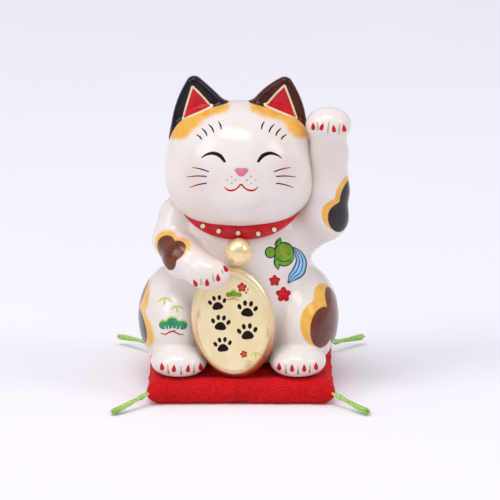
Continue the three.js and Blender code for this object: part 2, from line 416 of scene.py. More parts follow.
SKULL = ((-0.8, -5, 120), (39.5, 36, 34.5))
CHEEK = ((17, -12, 109.5), (20, 22, 15.5))
MUZZLE = ((0, -34, 108), (13, 9, 9))
CHIN = ((-0.5, -14, 101), (27, 21, 12))
EAR_ROOT = ((24.5, -5, 134.8), (11.2, 13, 12))
BELLY = ((0, 3, 42), (41, 37, 37))
CHEST = ((0, 0, 74), (36, 31, 31))
NAPE = ((0, 9, 87), (28, 22, 18))
SHOULDER = ((22, 0, 84), (18, 17, 16))
HAUNCH = ((32, 1, 35.5), (21.8, 37, 28.5))
HAUNCH_SHIFT = np.array([-1.3, 0, 0])
FOOT = ((31.5, -32, 20), (15, 15, 8.8))
TAIL = ((8, 41, 26), (10, 9, 9))
RAISED_ARM = [
    (33, -3, 84, 12.5),
    (44.5, -8, 92.5, 12.3),
    (46.4, -9, 107, 10.8),
    (46.6, -10, 127, 9.9),
    (46.3, -13, 137, 9.7),
]
RAISED_PAW = ((46.2, -15.5, 144.8), (12, 11, 9.2))
LOWERED_ARM = [
    (-32, -3, 91, 12),
    (-36.2, -9, 80.5, 10.4),
    (-30, -25, 74, 10.5),
    (-22, -34, 71, 9),
]
LOWERED_PAW = ((-16.5, -38, 69), (11, 8.5, 8.5))
# The vent hole in the base: x, y and radius
VENT = (0, 8, 6.0)
VENT_DEPTH = 6

# Each ear: the two base corners and the tip of its core, as (x, z), and the same of its inner panel
EARS = {
    "ear_right": (
        [(-32.6, 136), (-9.5, 148.3), (-24.6, 163.4)],
        [(-31, 145.8), (-15.9, 152.8), (-25.9, 164)],
    ),
    "ear_left": (
        [(30.5, 138), (8.5, 149.5), (23.2, 162.9)],
        [(29.9, 146.2), (13.4, 153.4), (23.4, 164.6)],
    ),
}
EAR_BOWS = {"ear_right": (0.8, 4), "ear_left": (2.8, 4)}
PANEL_BOWS = (0.9, 0.5)
EAR_ROUND = 4.5
EAR_MIDDLE_Y = -2.5
EAR_HALF = 3.6
EAR_EDGE = 2.8
EAR_SPLAY = 0.16
PANEL_Y = EAR_MIDDLE_Y - EAR_HALF + 0.35

# The coat: patches are smooth unions of ellipsoids, each (centre, half-widths)
BALL = np.ones(3)
BLACK_PATCHES = [
    [((58.5, -12, 104.5), 9.1 * BALL), ((53.5, -16.5, 94.8), 8.6 * BALL)],
    [((-50, 6, 47), (30, 14, 8.5)), ((-52, -6, 32.5), (30, 16.5, 9.5)), ((-52, 16, 30), (26, 12, 11))],
    [(TAIL[0], (14, 13, 11))],
]
BROWN_PATCHES = [
    [
        ((45, -27, 36.5), 11.2 * BALL), ((50.5, -12, 45), 10.5 * BALL),
        ((50, -12, 34), 10 * BALL), ((53, 8, 32), 18.6 * BALL),
    ],
    [((-41.3, -25, 79.6), 7.9 * BALL), ((-34.2, -31.5, 80.2), 5.9 * BALL), ((-37.4, -32, 74.8), 5.2 * BALL)],
    [((14, 36, 66), (15, 16, 11)), ((3, 38, 56), (11, 14, 9))],
]
OCHRE_CRISP = [
    [((58, -12, 105), 11.6 * BALL), ((51, -17.5, 96.8), 8.8 * BALL)],
    [((41.5, -28.5, 39.3), 12.3 * BALL), ((47, -17, 43.5), 14.9 * BALL), ((52, 9, 34), 19 * BALL)],
]
OCHRE_SOFT = [
    [((-50, 3, 45), (30, 22, 11)), ((-50, -8, 33), (30, 21, 11.5)), ((-50, 16, 30), (24, 18, 15))],
    [((-41, -23, 81), 8.7 * BALL), ((-33.3, -30.5, 81.2), 7.2 * BALL)],
    [((14, 36, 67), (19, 16, 14)), ((2, 38, 57), (15, 14, 13))],
]
# Ochre under each ear: a chain of (across, height seen from the front, radius)
EAR_SHADOWS = [
    [(-36, 133, 4.6), (-32, 134, 5.3), (-27, 139, 5.3), (-20, 144, 4.4), (-9.5, 145.8, 3.8)],
    [
        (8.5, 145.4, 3.8), (14.3, 144.6, 4.5), (20, 144.3, 4.5),
        (25.5, 141, 4.3), (30.5, 135, 5.2), (33, 133.4, 4.5),
    ],
]
CHEEK_BLUSH = ((24, -33, 120.5), 7)
FAR_AWAY = 60.0
MOST_OUTSIDE = 8


def flat_distance(q, outline):
    """The distance from 2-D points to a closed outline, negative inside."""
    ends = np.roll(outline, -1, axis=0)
    nearest = np.full(len(q), np.inf)
    inside = np.zeros(len(q), bool)
    for a, b in zip(outline, ends):
        side, out = b - a, q - a
        share = np.clip(out @ side / (side @ side), 0, 1)
        nearest = np.minimum(nearest, np.linalg.norm(out - share[:, None] * side, axis=1))
        spans = (a[1] > q[:, 1]) != (b[1] > q[:, 1])
        if spans.any():
            crossing = a[0] + (q[:, 1] - a[1]) * side[0] / (side[1] if side[1] else 1)
            inside ^= spans & (q[:, 0] < crossing)
    return np.where(inside, -nearest, nearest)


def bowed_triangle(corners, bows, steps=8):
    """A triangle with a straight base and two sides, inner and outer, that bow outwards."""
    outer, inner, tip = (np.array(c, float) for c in corners)
    middle = (outer + inner + tip) / 3
    outline = [outer]
    for (a, b), bow in zip(((inner, tip), (tip, outer)), bows):
        out = (a + b) / 2 - middle
        peak = (a + b) / 2 + bow * out / np.linalg.norm(out)
        for share in np.linspace(0, 1, steps, endpoint=False):
            outline.append((1 - share) ** 2 * a + 2 * share * (1 - share) * peak + share**2 * b)
    return np.array(outline)


def twins(p, form, soft):
    """An ellipsoid and its mirror image."""
    return join(ellipsoid(p, *form), ellipsoid(mirrored(p), *form), soft)


def head_field(p):
    d = join(ellipsoid(p, *SKULL), twins(p, CHEEK, 4), 7)
    d = join(d, twins(p, EAR_ROOT, 1), 6)
    return join(join(d, ellipsoid(p, *CHIN), 5), ellipsoid(p, *MUZZLE), 8)


def ear_field(name):
    """An ear with its skirt of glaze on the head, and a shallow panel sunk in its front."""
    corners, panel_corners = EARS[name]
    outline = bowed_triangle(corners, EAR_BOWS[name])
    panel = bowed_triangle(panel_corners, PANEL_BOWS)
    soft = EAR_EDGE

    def field(p):
        flat = flat_distance(p[:, [0, 2]], outline) - EAR_ROUND
        behind = EAR_SPLAY * np.maximum(corners[2][1] - p[:, 2], 0)
        depth = np.maximum(EAR_MIDDLE_Y - p[:, 1], p[:, 1] - EAR_MIDDLE_Y - behind) - EAR_HALF
        a, b = flat + soft, depth + soft
        plate = np.hypot(np.maximum(a, 0), np.maximum(b, 0)) + np.minimum(np.maximum(a, b), 0) - soft
        head_near = head_field(p)
        with_skirt = join(plate, head_near - 0.15, 3.2)
        d = keep_inside(with_skirt, plate - 1.7, 0.5)
        d = keep_inside(d, -(head_near + 2.5), 0.5)
        sunk = np.maximum(flat_distance(p[:, [0, 2]], panel), p[:, 1] - PANEL_Y)
        return keep_inside(d, -sunk, 0.4)

    return field


def body_field(p):
    trunk = join(ellipsoid(p, *BELLY), ellipsoid(p, *CHEST), 16)
    trunk = join(join(trunk, twins(p, SHOULDER, 4), 8), ellipsoid(p, *NAPE), 8)
    moved = p - HAUNCH_SHIFT
    left, right = (join(ellipsoid(q, *HAUNCH), ellipsoid(q, *FOOT), 3) for q in (moved, mirrored(moved)))
    d = join(trunk, np.minimum(left, right), 4)
    d = join(d, ellipsoid(p, *TAIL), 4)
    for arm, paw, soft in ((RAISED_ARM, RAISED_PAW, 4), (LOWERED_ARM, LOWERED_PAW, 3)):
        d = join(d, join(limb(p, arm), ellipsoid(p, *paw), 3), soft)
    d = keep_inside(d, SEAT - p[:, 2], 2)
    x, y, radius = VENT
    vent = np.maximum(np.hypot(p[:, 0] - x, p[:, 1] - y) - radius, p[:, 2] - SEAT - VENT_DEPTH)
    return keep_inside(d, -vent, 1)


def patch_distance(p, patches):
    found = np.full(len(p), FAR_AWAY)
    for spots in patches:
        whole = None
        for at, half in spots:
            d = ellipsoid(p, at, half)
            whole = d if whole is None else join(whole, d, 1.0)
        found = np.minimum(found, whole)
    return found


def paint_coat(obj, points, shadows=()):
    """How far outside each patch a point is, in units of that patch's soft edge."""
    crisp, soft, blurred = 0.3, 1.6, 1.8
    ochre = np.minimum(patch_distance(points, OCHRE_CRISP) / crisp, patch_distance(points, OCHRE_SOFT) / soft)
    behind = np.maximum(points[:, 1], 0) * 0.6
    seen = np.stack([points[:, 0], points[:, 1] * UPWARD[1] + points[:, 2] * UPWARD[2], behind], 1)
    for chain in shadows:
        ochre = np.minimum(ochre, limb(seen, [(x, h, 0, radius) for x, h, radius in chain]) / blurred)
    at, radius = CHEEK_BLUSH
    blush = np.minimum(ball(points, at, radius), ball(mirrored(points), at, radius)) / (radius * 0.7)
    values = {
        "ochre": ochre,
        "blush": blush,
        "black": patch_distance(points, BLACK_PATCHES),
        "brown": patch_distance(points, BROWN_PATCHES),
        "bare": points[:, 2] - SEAT - 0.9,
    }
    for name, value in values.items():
        set_attribute(obj, name, np.clip(value, -MOST_OUTSIDE, MOST_OUTSIDE))


def cat_piece(name, shape, finish, *nodes):
    """A piece of the cat in one of the finishes, which stands for some CAD nodes or for none."""
    material, slot = finishes[finish]
    obj = piece_from(name, *shape, material)
    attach(obj, "cat")
    if nodes:
        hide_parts(*nodes)
    return obj


STEP = 0.95
EAR_STEP = 0.6
# The boxes in which the skins are sought
HEAD_BOX = ((-46, -50, 80), (46, 36, 160))
BODY_BOX = ((-60, -54, SEAT - 4), (64, 56, 158))
EAR_MARGINS = ((8, 14), 7.5)
EAR_DEPTHS = (-20, 13)

head_shape = surface(head_field, *HEAD_BOX, STEP)
head = cat_piece("glazed_head", head_shape, "painted_white_glaze", "head")
paint_coat(head, head_shape[0], EAR_SHADOWS)
body_shape = surface(body_field, *BODY_BOX, STEP)
body = cat_piece(
    "glazed_body", body_shape, "painted_white_glaze",
    "torso", "raised_arm", "lowered_arm", "haunch_right", "haunch_left", "foot_right", "foot_left", "tail",
)
paint_coat(body, body_shape[0])
ear_shapes = {}
for name, finish in (("ear_right", "black_glaze"), ("ear_left", "brown_glaze")):
    corners = np.array(EARS[name][0], float)
    low, high = corners.min(0) - EAR_MARGINS[0], corners.max(0) + EAR_MARGINS[1]
    ear_box = ((low[0], EAR_DEPTHS[0], low[1]), (high[0], EAR_DEPTHS[1], high[1]))
    shape = surface(ear_field(name), *ear_box, EAR_STEP)
    cat_piece(f"glazed_{name}", shape, finish, name)
    ear_shapes[name] = shape


# ---- collar, bell and coin

COLLAR_TILT = 0.2
COLLAR_SQUASH = 0.93
COLLAR_MIDDLE = np.array([0, 0, 96.0])
COLLAR_RADIUS = 31.6
COLLAR_STEPS = 160
STRAP_HALF = (3.9, 4.6)
STRAP_POINTS = 28
BELL = ((-1, -36, 80.6), 7.3)
COIN_AT = np.array([-4, -39, 43.0])
COIN_HALF = (22, 29.8)
COIN_ROLL = 0.15
COIN_LEAN = 0.1
COIN_HALF_THICK = 1.5
GROOVE_SHARE = 0.868


def revolved(profile, count, place):
    """A closed skin: profile gives (outward, up) round its own loop, and place puts it at each angle."""
    points, faces = [], []
    size = len(profile)
    for i in range(count):
        here, there = i * size, (i + 1) % count * size
        for j, (out, up) in enumerate(profile):
            k = (j + 1) % size
            points.append(place(TURN * i / count, out, up))
            faces.append((here + j, there + j, there + k, here + k))
    return np.array(points), faces


def collar_place(angle, out, up):
    """A point of the strap: deep in front, and slimmer and higher where it passes under the cheeks."""
    slim = 0.36 + 0.64 * max(0, -math.sin(angle)) ** 1.5
    up = up * slim + 5 * abs(math.cos(angle)) ** 3
    radius = COLLAR_RADIUS + out * slim
    x, y = radius * math.cos(angle), radius * COLLAR_SQUASH * math.sin(angle)
    c, s = math.cos(COLLAR_TILT), math.sin(COLLAR_TILT)
    return COLLAR_MIDDLE + np.array([x, y * c - up * s, y * s + up * c])


strap = []
for angle in np.linspace(0, TURN, STRAP_POINTS, endpoint=False):
    square = (abs(math.cos(angle)) ** 3 + abs(math.sin(angle)) ** 3) ** (-1 / 3)
    strap.append((STRAP_HALF[0] * square * math.cos(angle), STRAP_HALF[1] * square * math.sin(angle)))
collar_shape = revolved(strap, COLLAR_STEPS, collar_place)
cat_piece("collar_enamel", collar_shape, "red_enamel", "collar")


def bell_shape_made():
    """A round bell, a little squared, with a soft crease across its front."""
    at, radius = BELL
    ball_mesh = bmesh.new()
    bmesh.ops.create_icosphere(ball_mesh, subdivisions=5, radius=1)
    ball_mesh.verts.ensure_lookup_table()
    out = np.array([v.co[:] for v in ball_mesh.verts])
    faces = [[v.index for v in face.verts] for face in ball_mesh.faces]
    ball_mesh.free()
    front = np.clip(-out[:, 1], 0, 1)
    crease = np.exp(-(((out[:, 2] + 0.18 * out[:, 0] + 0.08) / 0.16) ** 2)) * front
    square = np.cos(4 * np.arctan2(out[:, 2], out[:, 0] + 1e-9) + 0.9) * (1 - out[:, 1] ** 2)
    return out * (radius * (1 - 0.05 * crease + 0.018 * square))[:, None] + at, faces


cat_piece("bell_gold", bell_shape_made(), "gold_lustre", "bell")


def coin_to_frame(local):
    """From the coin's own (across, up, forward) to the frame: rolled, leaned back and put on the belly."""
    roll = Matrix.Rotation(COIN_ROLL, 3, "Z")
    lean = Matrix.Rotation(math.pi / 2 - COIN_LEAN, 3, "X")
    return local @ np.array(lean @ roll).T + COIN_AT


def coin_shape_made():
    """An oval coin: a rounded edge, a raised rim with a groove inside it, and a gently domed face."""
    count = 128
    edge = COIN_HALF_THICK
    front = [
        (0.2, 0.08), (0.4, 0.03), (0.6, -0.06), (0.76, -0.16), (0.85, -0.26), (GROOVE_SHARE, -0.4),
        (0.884, -0.12), (0.9, 0.14), (0.915, 0.15), (0.935, -0.1), (0.96, -0.55), (0.982, -1.1),
        (0.995, -1.6),
    ]
    back = [(1.0, -edge * 0.3), (0.99, -edge * 0.7), (0.96, -edge), (0.6, -edge), (0.3, -edge)]
    rows = [(share, edge + rise) for share, rise in front] + back
    points = [(0, 0, edge + 0.1)]
    for share, height in rows:
        x, y = (half * share for half in COIN_HALF)
        for i in range(count):
            angle = TURN * i / count
            points.append((x * math.cos(angle), y * math.sin(angle), height))
    points.append((0, 0, -edge))
    faces = [(0, 1 + i, 1 + (i + 1) % count) for i in range(count)]
    for row in range(len(rows) - 1):
        a, b = 1 + row * count, 1 + (row + 1) * count
        faces += [(a + i, b + i, b + (i + 1) % count, a + (i + 1) % count) for i in range(count)]
    last, end = 1 + (len(rows) - 1) * count, len(points) - 1
    faces += [(last + i, end, last + (i + 1) % count) for i in range(count)]
    return coin_to_frame(np.array(points)), faces


coin_shape = coin_shape_made()
coin = cat_piece("koban_gold", coin_shape, "coin_gold", "koban_coin")
# The groove gets a dark line. The rim outside it gets a painted reflection of the red cushion, faint at the
# top and strongest towards the bottom
out = (coin_shape[0] - COIN_AT) / (COIN_HALF[0], 1, COIN_HALF[1])
out_share = np.hypot(out[:, 0], out[:, 2])
groove = 0.55 * np.exp(-(((out_share - GROOVE_SHARE) / 0.008) ** 2))
painted_cushion_reflection = np.clip((out_share - GROOVE_SHARE - 0.002) / 0.06, 0, 1) * np.clip(0.2 - 1.3 * out[:, 2], 0.1, 1)
set_attribute(coin, "groove_line_and_painted_reflection", np.maximum(groove, painted_cushion_reflection))


# ---- painting

PAINTER = np.array(VIEW_TARGET) / MM
ACROSS = np.array([1.0, 0, 0])
EYE = PAINTER + np.array(BACK) * VIEW_DISTANCE / MM
PAINT_THICK = 0.1
PAINT_SUNK = 0.25
STROKE_STEP = 0.7
# The section of a stroke as (share of its half-width, rise), and of a filled shape's rim as (share, rise)
BRUSH = [(-1, 0), (-0.65, 0.8), (0, 1), (0.65, 0.8), (1, 0), (0.5, -1), (-0.5, -1)]
RIM = [(0.85, 1), (0.96, 0.8), (1, 0), (0.94, -1)]


class Canvas:
    """Shapes that take paint. A spot is (across, height) in mm, in the plane that faces the painter."""

    def __init__(self, *shapes):
        self.tree = BVHTree.FromPolygons(*merged(shapes))

    def touch(self, x, height):
        """The point that the painter sees at a spot, and the normal there."""
        spot = PAINTER + (x - PAINTER[0]) * ACROSS + (height - PAINTER @ UPWARD) * UPWARD
        line = unit(spot - EYE)
        point, normal, _, _ = self.tree.ray_cast(EYE, line)
        if point is None:
            raise ValueError(f"nothing to paint at {x:.1f}, {height:.1f}")
        normal = np.array(normal)
        return np.array(point), normal if normal @ line < 0 else -normal


def smooth_line(route, count):
    """Evenly counted points on a smooth line through a few."""
    route = np.asarray(route, float)
    if len(route) == 2:
        return route[0] + np.linspace(0, 1, count)[:, None] * (route[1] - route[0])
    ends = np.vstack([2 * route[0] - route[1], route, 2 * route[-1] - route[-2]])
    made = []
    for t in np.linspace(0, len(route) - 1 - 1e-9, count):
        i, s = int(t), t % 1
        a, b, c, d = ends[i : i + 4]
        second, third = 2 * a - 5 * b + 4 * c - d, 3 * b - a - 3 * c + d
        made.append(0.5 * (2 * b + (c - a) * s + second * s**2 + third * s**3))
    return np.array(made)


def directions(line):
    """The unit vector along a line at each of its points."""
    along = np.gradient(line, axis=0)
    return along / np.linalg.norm(along, axis=1)[:, None]


def beside(line):
    """The unit normals to a flat line, to its left."""
    along = directions(line)
    return np.stack([-along[:, 1], along[:, 0]], 1)


def widths_along(widths, count):
    return np.interp(np.linspace(0, 1, count), np.linspace(0, 1, len(widths)), widths)


class Paint:
    """One colour of enamel, laid in thin closed islands. A higher level lies over a lower one."""

    def __init__(self, name, canvas, finish):
        self.name, self.canvas, self.finish = name, canvas, finish
        self.points, self.faces = [], []

    def lay(self, x, height, rise, level):
        """A point at a spot; rise goes from -1, sunk in the glaze, to 1, the top of the level."""
        point, normal = self.canvas.touch(x, height)
        self.points.append(point + normal * (rise * PAINT_THICK * level if rise > 0 else rise * PAINT_SUNK))
        return len(self.points) - 1

    def stroke(self, route, widths, level=1):
        """A brush line along a route, as wide as widths says from its start to its end."""
        route = np.asarray(route, float)
        length = np.linalg.norm(np.diff(route, axis=0), axis=1).sum()
        count = max(5, int(length / STROKE_STEP))
        line = smooth_line(route, count)
        rings = []
        for (x, h), (nx, nh), width in zip(line, beside(line), widths_along(widths, count)):
            ring = []
            for side, rise in BRUSH:
                reach = side * width / 2
                ring.append(self.lay(x + nx * reach, h + nh * reach, rise, level))
            rings.append(ring)
        size = len(BRUSH)
        for a, b in zip(rings, rings[1:]):
            self.faces += [(a[i], a[(i + 1) % size], b[(i + 1) % size], b[i]) for i in range(size)]
        self.faces += [tuple(rings[0][::-1]), tuple(rings[-1])]

    def fill(self, outline, level=1, inner=(0.5,)):
        """A filled shape whose middle sees its whole outline. Bent ground wants more inner rings."""
        outline = np.asarray(outline, float)
        middle = outline.mean(0)
        top = self.lay(*middle, 1, level)
        rings = []
        for share, rise in [*((share, 1) for share in inner), *RIM]:
            rings.append([self.lay(*(middle + share * (spot - middle)), rise, level) for spot in outline])
        bottom = self.lay(*middle, -1, level)
        count = len(outline)
        for i in range(count):
            j = (i + 1) % count
            self.faces += [(top, rings[0][i], rings[0][j]), (rings[-1][i], bottom, rings[-1][j])]
            self.faces += [(a[i], b[i], b[j], a[j]) for a, b in zip(rings, rings[1:])]

    def done(self):
        obj = cat_piece(self.name, (self.points, self.faces), self.finish)
        shape = bmesh.new()
        shape.from_mesh(obj.data)
        bmesh.ops.recalc_face_normals(shape, faces=shape.faces)
        shape.to_mesh(obj.data)
        shape.free()


def placed(outline, at, turn=0.0, size=1.0):
    c, s = math.cos(turn) * size, math.sin(turn) * size
    return np.asarray(outline, float) @ np.array([[c, s], [-s, c]]) + np.asarray(at, float)


def ring_outline(radius_at, count=30):
    angles = np.linspace(0, TURN, count, endpoint=False)
    return np.array([(radius_at(a) * math.cos(a), radius_at(a) * math.sin(a)) for a in angles])


def disc(at, radius, squash=1.0, count=24):
    return ring_outline(lambda a: radius, count) * (1, squash) + np.asarray(at, float)


def drop(width, length, count=26):
    """A drop with its point upwards."""
    angles = np.linspace(0, TURN, count, endpoint=False)
    across = [width / 2 * 1.25 * math.sin(a) * math.sin(a / 2) ** 1.3 for a in angles]
    return np.stack([across, length / 2 * np.cos(angles)], 1)


def petals(radius):
    """Five round petals, one upwards."""
    depth = 0.34
    return ring_outline(lambda a: radius * (1 - depth + depth * abs(math.cos(2.5 * (a - TURN / 4)))), 60)


def bowed(start, end, across, up):
    """A route from start to end whose middle is moved a little."""
    return [start, ((start[0] + end[0]) / 2 + across, (start[1] + end[1]) / 2 + up), end]


def on_face(*routes):
    """Routes and their mirror images, as measured from the nose, in their places on the face."""
    for route in routes:
        for side in (1, -1):
            yield np.asarray(route, float) * (side, 1) + NOSE


all_paints = []


def paint_set(prefix, canvas, finish_names):
    paints = {name: Paint(f"{prefix}{name}", canvas, finish) for name, finish in finish_names.items()}
    all_paints.extend(paints.values())
    return paints


cat_canvas = Canvas(head_shape, body_shape)
ear_canvas = Canvas(head_shape, *ear_shapes.values())
coin_canvas = Canvas(coin_shape)
collar_canvas = Canvas(collar_shape)

# The face, measured from the middle of the nose
NOSE = np.array([0.3, 111.7])
BROWS = [
    ((12.4, 26.8), (10.8, 22.4)),
    ((17.6, 25.3), (14.7, 20.8)),
    ((21.3, 23.2), (18.3, 19.0)),
    ((24.2, 19.8), (21.2, 17.0)),
]
EYE_LINE = [(8.7, 5.0), (11.4, 8.4), (15.2, 9.8), (18.8, 9.0), (21.6, 7.2)]
WHISKERS = [((17.4, -0.1), (26.4, 2.2)), ((18.6, -2.6), (29.2, -2.9)), ((18.6, -6.2), (27.9, -8.6))]
MOUTH = [
    (-9.2, -8.2), (-7.2, -9.9), (-4.8, -10.1), (-2.2, -8.9), (-0.2, -6.9),
    (1.8, -8.9), (4.4, -10.1), (6.9, -9.9), (8.9, -8.2),
]
MUZZLE_DOTS = [(5.2, -2.7), (7.6, -4.6), (3.1, -4.5), (5.2, -6.3)]

face_finishes = {"face_lines": "ink_enamel", "nose_and_dots": "pink_enamel", "mouth": "claw_enamel"}
face = paint_set("", cat_canvas, face_finishes)
for route in on_face(*(bowed(start, end, -0.45, 0.2) for start, end in BROWS)):
    face["face_lines"].stroke(route, [0.4, 0.85, 0.9, 0.45])
for route in on_face(EYE_LINE):
    face["face_lines"].stroke(route, [1.3, 2.2, 1.9, 1.2, 0.4])
for route in on_face(*(bowed(start, end, 0, 0.35) for start, end in WHISKERS)):
    face["face_lines"].stroke(route, [0.68, 0.68, 0.56, 0.26])
nose = ring_outline(lambda a: 3.1 * (1 + 0.16 * math.cos(3 * (a - math.pi / 6)))) * (1.12, 0.72)
face["nose_and_dots"].fill(nose + NOSE, 3)
for spot in on_face(*MUZZLE_DOTS):
    face["nose_and_dots"].fill(disc(spot, 0.42, count=12))
face["mouth"].stroke(np.array(MOUTH) + NOSE, [0.4, 1.0, 1.1, 0.8, 1.0, 0.8, 1.1, 1.0, 0.4])

# Ears: a red panel with a cream line round it
ear_paints = paint_set("ear_panel", ear_canvas, {"_rims": "cream_enamel", "s": "red_enamel"})
for _, panel in EARS.values():
    outline = bowed_triangle(panel, PANEL_BOWS, 10)
    outline[:, 1] = outline[:, 1] * UPWARD[2] + PANEL_Y * UPWARD[1]
    middle = outline.mean(0)
    ear_paints["_rims"].stroke(smooth_line(np.vstack([outline, outline[:1]]), 70), [1.25], 2)
    ear_paints["s"].fill(middle + (outline - middle) * 0.97, 1, (0.15, 0.3, 0.45, 0.6, 0.72))

# Claws and the lines between the toes: (across, height, lean)
CLAWS = {
    "raised": [(38.7, 135.9, 0.0), (43.4, 135.7, -0.35), (49.7, 134.7, 0.12), (55.2, 134.9, 0.12)],
    "lowered": [(-24.5, 52.1, 0.45), (-18.1, 52.4, 0.1), (-12.2, 55.0, 0.1), (-8.3, 59.9, 0.55)],
    "right_foot": [(-42.2, 7.4, 0.1), (-35.8, 6.4, -0.05), (-28.2, 6.4, -0.12), (-21.6, 7.4, 0.1)],
    "left_foot": [(20.5, 7.4, 0.05), (27.4, 6.6, 0.0), (33.9, 6.6, 0.0), (40.2, 7.6, 0.05)],
}
TOE_LINES = {
    "raised": [
        ((40.9, 138.3), (41.1, 133.5)), ((47.2, 138.6), (46.4, 132.2)), ((52.9, 137.7), (52.4, 131.6)),
    ],
    "lowered": [((-21.5, 54.8), (-21.2, 51)), ((-15.2, 57), (-14.4, 52.6)), ((-10.6, 59.4), (-9.4, 57.2))],
    "right_foot": [((-39.2, 8.4), (-38.8, 3.6)), ((-32.2, 7.6), (-31.9, 3.0)), ((-24.9, 8.4), (-25.2, 3.8))],
    "left_foot": [((24.0, 8.4), (24.2, 3.6)), ((30.6, 8.0), (30.6, 3.2)), ((37.0, 8.2), (36.8, 4.0))],
}
CLAW_SIZE = (2.5, 4.3)
paw_finishes = {"claws": "claw_enamel", "toe_lines": "toe_enamel", "toe_line_ends": "rust_enamel"}
paws = paint_set("", cat_canvas, paw_finishes)
for spots in CLAWS.values():
    for x, h, lean in spots:
        paws["claws"].fill(placed(drop(*CLAW_SIZE), (x, h), lean), 2)
for paw, routes in TOE_LINES.items():
    for start, end in np.array(routes):
        paws["toe_lines"].stroke(bowed(start, end, 0, 0), [0.5, 0.95, 1.0, 0.6])
        if paw.endswith("foot"):
            paws["toe_line_ends"].stroke([start + (end - start) * 0.55, end], [0.5, 0.9, 0.9], 2)

# Blossoms, turtle, wave, pine and bamboo on the white glaze
motif = paint_set("motif_", cat_canvas, {
    "green": "green_enamel",
    "pine": "pine_enamel",
    "leaves": "leaf_enamel",
    "outlines": "edge_enamel",
    "orange": "orange_enamel",
    "wave": "blue_enamel",
    "wave_lines": "navy_enamel",
    "white": "white_enamel",
    "blossoms": "claw_enamel",
    "stamens": "pink_enamel",
})


def blossom(petal_paint, stamen_paint, at, radius, turn=0.0):
    petal_paint.fill(placed(petals(radius), at, turn), 2)
    for i in range(5):
        angle = turn + math.pi / 2 + i * TURN / 5
        out = np.array([math.cos(angle), math.sin(angle)])
        start, end = at + out * radius * 0.12, at + out * radius * 0.5
        stamen_paint.stroke([start, end], [0.12, 0.22], 3)


def pine(cloud, halo, streaks, twig, at, size):
    """A pine in three clouds of needles over a crooked twig."""
    lobes = [(-4.7, -0.3, 2.4), (-2.4, -0.2, 2.4), (0, 0.9, 3.2), (3.0, -0.2, 2.5), (5.5, -0.4, 2.5)]

    def line(paint, route, widths):
        paint.stroke(placed(route, at, size=size), np.array(widths) * size, 3)

    for x, h, radius in lobes[::2]:
        halo.fill(placed(disc((x, h + 0.9), radius, 0.95), at, size=size))
    for x, h, radius in lobes:
        cloud.fill(placed(disc((x, h), radius, 0.92), at, size=size), 2)
    for x in (-3.8, -1.9, 0.2, 2.3, 4.4):
        line(streaks, [(x * 0.8, -2.9), (x * 1.05, -0.5)], [0.75, 0.5, 0.2])
    route = [(-6.3, -4.5), (-3.8, -5.2), (-1.6, -4.0), (0, -3.6), (1.9, -4.2), (4.0, -5.2), (6.2, -5.0)]
    line(twig, route, [0.3, 0.7, 0.7, 0.55, 0.7, 0.7, 0.3])
    line(twig, [(-0.9, -4.3), (0.4, -3.3), (1.8, -3.1)], [0.5, 0.6, 0.3])


def bamboo(paint, at, size):
    """Three leaves that hang from one point."""
    for x, h in ((-3.8, -2.1), (3.9, -2.0), (-0.1, -3.9)):
        route = [(0, 0.1), (x * 0.5, h * 0.5 + abs(x) * 0.14), (x, h)]
        paint.stroke(placed(route, at, size=size), np.array([0.6, 1.25, 1.1, 0.1]) * size, 2)


def turtle(at, shell, outlines, marks):
    """A turtle seen from above: the same shapes twice, first a little larger as its outline."""
    flippers = [((-3.0, 3.2), (-1.7, 7.6), 3.4), ((-3.6, -4.2), (-2.9, -9.4), 3.0)]
    for paint, grow, level in ((outlines, 0.52, 2), (shell, 0, 3)):
        for base, tip, width in flippers:
            widths = [width + 2 * grow, width * 0.8 + 2 * grow, 0.3 + grow]
            paint.stroke(placed(bowed(base, tip, -0.3, 0), at), widths, level)
        paint.fill(disc(at + (-7.2, -0.2), 2.5 + grow, 1.05), level)
        paint.fill(disc(at + (0.1, -2.3), 5.0 + grow), level + 0.3)
        paint.fill(disc(at, 5.0 + grow), level + 0.6 + grow)
    shell_edge = placed([(-4.6, -2.4), (-2.6, -4.3), (0.4, -5.1), (3.6, -3.9)], at)
    outlines.stroke(shell_edge, [0.3, 0.6, 0.6, 0.4], 5)
    outlines.fill(disc(at + (-7.6, 0.3), 0.4, count=10), 5)
    for i in range(6):
        angle = math.radians(60 * i + 20)
        out = np.array([math.cos(angle), math.sin(angle)])
        marks.stroke([at + out * 0.9, at + out * 2.5], [0.55, 0.9, 0.4], 5)


def wave(at, water, flow):
    """A trailing plume of water with lines along its flow."""
    route = np.array([(4.8, 2.6), (7.6, -0.6), (9.3, -5.2), (7.9, -10.2), (4.6, -13.4), (2.2, -16.6)]) + at
    widths = [0.7, 3.6, 5.6, 6.6, 4.4, 0.4]
    water.stroke(route, widths)
    line = smooth_line(route, 24)
    normals, breadth = beside(line), widths_along(widths, 24)
    for share in (-0.98, -0.35, 0.3, 0.98):
        moved = line + normals * (share * breadth / 2)[:, None]
        flow.stroke(moved, [0.35, 0.65, 0.7, 0.65, 0.35], 2)


TURTLE = np.array([23.0, 68.6])
wave(TURTLE, motif["wave"], motif["wave_lines"])
turtle(TURTLE, motif["green"], motif["outlines"], motif["orange"])
for x, h, radius in ((18.1, 53.3, 3.1), (22.8, 45.9, 4.2)):
    blossom(motif["blossoms"], motif["stamens"], (x, h), radius)
pine(motif["pine"], motif["leaves"], motif["white"], motif["blossoms"], (-36.7, 29.8), 1.0)
for x, h, size in ((-40.8, 43.9, 1.0), (-34.1, 39.7, 0.92)):
    bamboo(motif["leaves"], (x, h), size)

